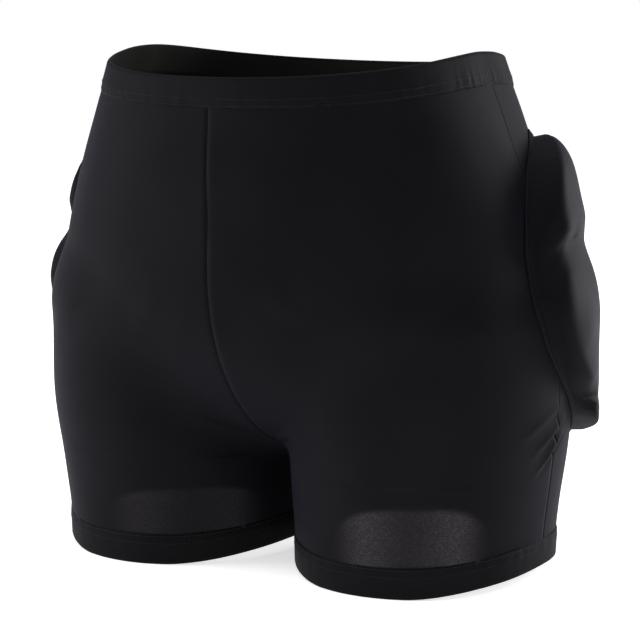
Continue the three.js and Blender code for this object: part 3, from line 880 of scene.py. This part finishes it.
# ---- Materials ----------------------------------------------------------------------------------
def new_material(name, roughness, sheen=0.0, sheen_tint=(1, 1, 1), sheen_roughness=0.4,
                 specular=0.5):
    material = bpy.data.materials.new(name)
    material.use_nodes = True
    nodes = material.node_tree.nodes
    shader = nodes["Principled BSDF"]
    shader.inputs["Roughness"].default_value = roughness
    shader.inputs["Specular IOR Level"].default_value = specular
    shader.inputs["Sheen Weight"].default_value = sheen
    shader.inputs["Sheen Roughness"].default_value = sheen_roughness
    shader.inputs["Sheen Tint"].default_value = (*sheen_tint, 1)
    return material, material.node_tree, shader


def add_node(tree, kind, inputs=(), **values):
    node = tree.nodes.new(kind)
    for key, value in values.items():
        setattr(node, key, value)
    for key, value in dict(inputs).items():
        if isinstance(value, bpy.types.NodeSocket):
            tree.links.new(value, node.inputs[key])
        else:
            node.inputs[key].default_value = value
    return node


def mixed(tree, factor, a, b):
    """Colour between two colours, by a factor socket."""
    node = add_node(tree, "ShaderNodeMix", data_type="RGBA")
    tree.links.new(factor, node.inputs[0])
    for socket, value in ((node.inputs[6], a), (node.inputs[7], b)):
        if isinstance(value, bpy.types.NodeSocket):
            tree.links.new(value, socket)
        else:
            socket.default_value = (*value, 1)
    return node.outputs[2]


def knit_height(tree, uv, wale=0.0007):
    """Height of a fine warp knit: ribs along the weave's v with a slight stagger."""
    scaled = add_node(tree, "ShaderNodeMapping", {"Vector": uv, "Scale": (1 / wale, 0.8 / wale, 1)})
    wave_a = add_node(tree, "ShaderNodeTexWave", {"Vector": scaled.outputs[0], "Scale": 1.0,
                      "Distortion": 1.2, "Detail": 1.0, "Detail Scale": 1.0}, bands_direction="X")
    wave_b = add_node(tree, "ShaderNodeTexWave", {"Vector": scaled.outputs[0], "Scale": 0.8,
                      "Distortion": 1.0, "Detail": 1.0, "Detail Scale": 1.0}, bands_direction="Y")
    both = add_node(tree, "ShaderNodeMath", operation="MULTIPLY")
    tree.links.new(wave_a.outputs["Fac"], both.inputs[0])
    tree.links.new(wave_b.outputs["Fac"], both.inputs[1])
    return both.outputs[0]


def stretch_knit(name, dark, light, sheen, tint, roughness=0.62, painted_light_through=None, bump=0.12):
    """Black stretch knit: fine loops, slow colour change, soft sheen and, where the knit is drawn
    thin, a painted paler grain that stands in for light shining through it."""
    material, tree, shader = new_material(name, roughness, sheen, tint, 0.4, 0.03)
    coords = add_node(tree, "ShaderNodeTexCoord")
    uv = add_node(tree, "ShaderNodeUVMap", uv_map="weave").outputs[0]
    slow = add_node(tree, "ShaderNodeTexNoise", {"Vector": coords.outputs["Object"], "Scale": 14.0,
                    "Detail": 3.0, "Roughness": 0.55})
    grain = add_node(tree, "ShaderNodeTexNoise", {"Vector": coords.outputs["Object"], "Scale": 900.0,
                     "Detail": 1.0})
    height = knit_height(tree, uv)
    blend = add_node(tree, "ShaderNodeMath", operation="MULTIPLY_ADD",
                     inputs={0: grain.outputs["Fac"], 1: 0.5})
    tree.links.new(slow.outputs["Fac"], blend.inputs[2])
    range_ = add_node(tree, "ShaderNodeMapRange", {"Value": blend.outputs[0], "From Min": 0.45,
                      "From Max": 1.05})
    colour = mixed(tree, range_.outputs[0], dark, light)
    if painted_light_through:
        # Painted light: paler specks mixed into the base colour where light shines through the sheer
        # knit
        share = add_node(tree, "ShaderNodeAttribute", attribute_name="painted_light_through").outputs["Fac"]
        speck = add_node(tree, "ShaderNodeTexVoronoi", {"Vector": uv, "Scale": 1250.0})
        lit = add_node(tree, "ShaderNodeMapRange", {"Value": speck.outputs["Distance"],
                       "From Min": 0.15, "From Max": 0.75, "To Min": 0.25, "To Max": 1.0})
        amount = add_node(tree, "ShaderNodeMath", operation="MULTIPLY")
        tree.links.new(share, amount.inputs[0])
        tree.links.new(lit.outputs[0], amount.inputs[1])
        colour = mixed(tree, amount.outputs[0], colour, painted_light_through)
    tree.links.new(colour, shader.inputs["Base Color"])
    relief = add_node(tree, "ShaderNodeBump", {"Height": height, "Strength": bump,
                      "Distance": 0.0003})
    tree.links.new(relief.outputs[0], shader.inputs["Normal"])
    return material


def foam_material():
    material, tree, shader = new_material("closed cell foam", 0.9, specular=0.2)
    coords = add_node(tree, "ShaderNodeTexCoord")
    cells = add_node(tree, "ShaderNodeTexVoronoi", {"Vector": coords.outputs["Object"],
                     "Scale": 900.0})
    tree.links.new(mixed(tree, cells.outputs["Distance"], (0.03, 0.03, 0.033), (0.07, 0.07, 0.075)),
                   shader.inputs["Base Color"])
    relief = add_node(tree, "ShaderNodeBump", {"Height": cells.outputs["Distance"], "Strength": 0.4,
                      "Distance": 0.0006})
    tree.links.new(relief.outputs[0], shader.inputs["Normal"])
    return material


def elastic_material():
    material, tree, shader = new_material("woven elastic", 0.7, 0.1, specular=0.3)
    uv = add_node(tree, "ShaderNodeUVMap", uv_map="weave").outputs[0]
    height = knit_height(tree, uv, 0.0009)
    tree.links.new(mixed(tree, height, (0.012, 0.012, 0.013), (0.03, 0.03, 0.032)),
                   shader.inputs["Base Color"])
    relief = add_node(tree, "ShaderNodeBump", {"Height": height, "Strength": 0.5,
                      "Distance": 0.0004})
    tree.links.new(relief.outputs[0], shader.inputs["Normal"])
    return material


def thread_material():
    material, tree, shader = new_material("polyester thread", 0.5, 0.03, specular=0.12)
    coords = add_node(tree, "ShaderNodeTexCoord")
    twist = add_node(tree, "ShaderNodeTexWave", {"Vector": coords.outputs["Object"], "Scale": 1500.0,
                     "Distortion": 2.0}, bands_direction="DIAGONAL")
    tree.links.new(mixed(tree, twist.outputs["Fac"], (0.005, 0.005, 0.006), (0.012, 0.0118, 0.014)),
                   shader.inputs["Base Color"])
    return material


def floor_material():
    material, tree, shader = new_material("pale studio floor", 0.9, specular=0.1)
    coords = add_node(tree, "ShaderNodeTexCoord")
    faint = add_node(tree, "ShaderNodeTexNoise", {"Vector": coords.outputs["Object"], "Scale": 3.0})
    tree.links.new(mixed(tree, faint.outputs["Fac"], (0.96, 0.96, 0.96), (0.99, 0.99, 0.99)),
                   shader.inputs["Base Color"])
    shader.inputs["Emission Color"].default_value = (1, 1, 1, 1)
    shader.inputs["Emission Strength"].default_value = FLOOR_GLOW
    return material


FLOOR_GLOW = 0.62        # the floor is a light table
VIOLET = (0.62, 0.55, 1.0)
# The shell's third, paler colour is painted light shining through its sheer knit
shell_fabric = stretch_knit("black stretch knit", (0.0043, 0.0041, 0.0052), (0.0074, 0.007, 0.009),
                            0.03, VIOLET, painted_light_through=(0.042, 0.038, 0.041))
band_fabric = stretch_knit("black band knit", (0.0043, 0.0042, 0.0048), (0.0076, 0.0074, 0.0085),
                           0.02, VIOLET)
cover_fabric = stretch_knit("black cover knit", (0.0042, 0.0041, 0.005), (0.0072, 0.007, 0.0086),
                            0.03, VIOLET, 0.55)
shell_lining = stretch_knit("matt inner knit", (0.012, 0.012, 0.0115), (0.018, 0.018, 0.017),
                            0.02, (1, 1, 1), 0.8)
foam_cells = foam_material()
elastic_weave = elastic_material()
sewing_thread = thread_material()

# ---- Shell, bands and elastics ------------------------------------------------------------------
SIDES = {"left": 1, "right": -1}


def dress(piece, slot, *nodes):
    """Fix a finished piece to the frame, in the place of its CAD nodes."""
    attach(piece, "root")
    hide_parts(*nodes)
    return piece


for word, side in SIDES.items():
    for part, way in (("front_panel", -1), ("back_panel", 1)):
        name = f"{part}_{word}"
        dress(panel(f"{part}_{word}_fabric", way, side), "shell_fabric", name)

WAIST_SEED, HEM_SEEDS = 21, {"left": 31, "right": 35}
waistband = dress(band("waistband_fabric", HEIGHT, -WAISTBAND_HEIGHT, True, WAIST_SEED),
                  "band_fabric", "waistband")
waist_stitching = band_stitching("waist_stitching", HEIGHT, -WAISTBAND_HEIGHT, True, WAIST_SEED)
waist_elastic = dress(elastic("waist_elastic_weave", HEIGHT, -1, True), "elastic", "waist_elastic")
hems, hem_stitching, leg_elastics = {}, {}, {}
for word, side in SIDES.items():
    hems[word] = dress(band(f"leg_hem_{word}_fabric", 0, HEM_HEIGHT, False, HEM_SEEDS[word], side),
                       "band_fabric", f"leg_hem_{word}")
    hem_stitching[word] = band_stitching(f"leg_hem_{word}_stitching", 0, HEM_HEIGHT, False,
                                         HEM_SEEDS[word], side)
    leg_elastics[word] = dress(elastic(f"leg_elastic_{word}_weave", 0, 1, False, side), "elastic",
                               f"leg_elastic_{word}")

# ---- Pads and covers ----------------------------------------------------------------------------
pads, covers = {}, {}
HIP_GROOVES = ((HIP_UPPER_FOOT, 0.68), (HIP_LOWER_FOOT, 0.6))
SEAT_GROOVES = ((SEAT_SPLIT, 0.55),)


def covered_pad(name, node, outline, lobes, grooves, side, seed):
    """A pad's foam lobes and the cover sewn over them. lobes maps each lobe's node to its shape."""
    under = []
    for lobe_node, lobe in lobes.items():
        piece = foam(f"{lobe_node}_foam", lobe, side)
        swell(piece)
        dress(piece, "foam", lobe_node)
        pads[lobe_node] = piece
        under.append(piece)
    piece, rows = cover(name, outline, lobes.values(), grooves, side, seed)
    covers[name] = (dress(piece, "pad_cover_fabric", node), under, rows)


for word, side in SIDES.items():
    covered_pad(f"hip_pad_cover_{word}_fabric", f"hip_pad_cover_{word}", HIP,
                {f"{k}_{word}": v for k, v in HIP_LOBES.items()}, HIP_GROOVES, side, 40 + side)
    covered_pad(f"seat_pad_cover_{word}_fabric", f"seat_pad_cover_{word}", SEAT,
                {f"{k}_{word}": v for k, v in SEAT_LOBES.items()}, SEAT_GROOVES, side, 50 + side)
covered_pad("tailbone_pad_cover_fabric", "tailbone_pad_cover", TAIL, TAIL_LOBES, (), 1, 61)


# ---- Studio -------------------------------------------------------------------------------------
ROOM_LIGHT = 0.4         # what the pale room gives the fabric, against what the camera sees


def floor():
    bpy.ops.object.select_all(action="DESELECT")
    bpy.ops.mesh.primitive_plane_add(size=12, location=(0, 0, 0))
    plane = bpy.context.object
    plane.name = "studio_floor"
    plane.data.materials.append(floor_material())
    return plane


def softbox(name, place, aim, size, power, colour=(1, 1, 1)):
    data = bpy.data.lights.new(name, "AREA")
    data.shape = "RECTANGLE"
    data.size, data.size_y = size
    data.energy = power
    data.color = colour
    light = bpy.data.objects.new(name, data)
    light.location = place
    light.rotation_euler = (Vector(aim) - Vector(place)).to_track_quat("-Z", "Y").to_euler()
    bpy.context.collection.objects.link(light)


def studio():
    floor()
    middle = (0, 0, 0.17)
    softbox("left softbox", (-1.9, -0.9, 0.7), middle, (0.9, 1.6), 28)
    softbox("right softbox", (1.25, 1.75, 0.6), middle, (0.9, 1.6), 46)
    softbox("overhead softbox", (0, 0, 2.2), (0, 0, 0), (2.4, 2.4), 25)
    world = bpy.data.worlds.new("pale room")
    world.use_nodes = True
    tree = world.node_tree
    tree.nodes["Background"].inputs["Color"].default_value = (1, 1, 1, 1)
    seen = tree.nodes.new("ShaderNodeLightPath")
    strength = add_node(tree, "ShaderNodeMapRange", {"Value": seen.outputs["Is Camera Ray"],
                        "To Min": ROOM_LIGHT, "To Max": 1.0})
    tree.links.new(strength.outputs[0], tree.nodes["Background"].inputs["Strength"])
    bpy.context.scene.world = world
    bpy.context.scene.view_settings.view_transform = "Standard"


def camera():
    data = bpy.data.cameras.new("camera")
    data.lens = 129.3
    azimuth, elevation, distance = math.radians(29), math.radians(9), 1.5
    aim = Vector((0.0063, -0.0072, 0.1514))
    back = Vector((math.sin(azimuth) * math.cos(elevation), -math.cos(azimuth) * math.cos(elevation),
                   math.sin(elevation)))
    eye = bpy.data.objects.new("camera", data)
    eye.location = aim + back * distance
    eye.rotation_euler = (-back).to_track_quat("-Z", "Y").to_euler()
    bpy.context.collection.objects.link(eye)
    bpy.context.scene.camera = eye


studio()
camera()
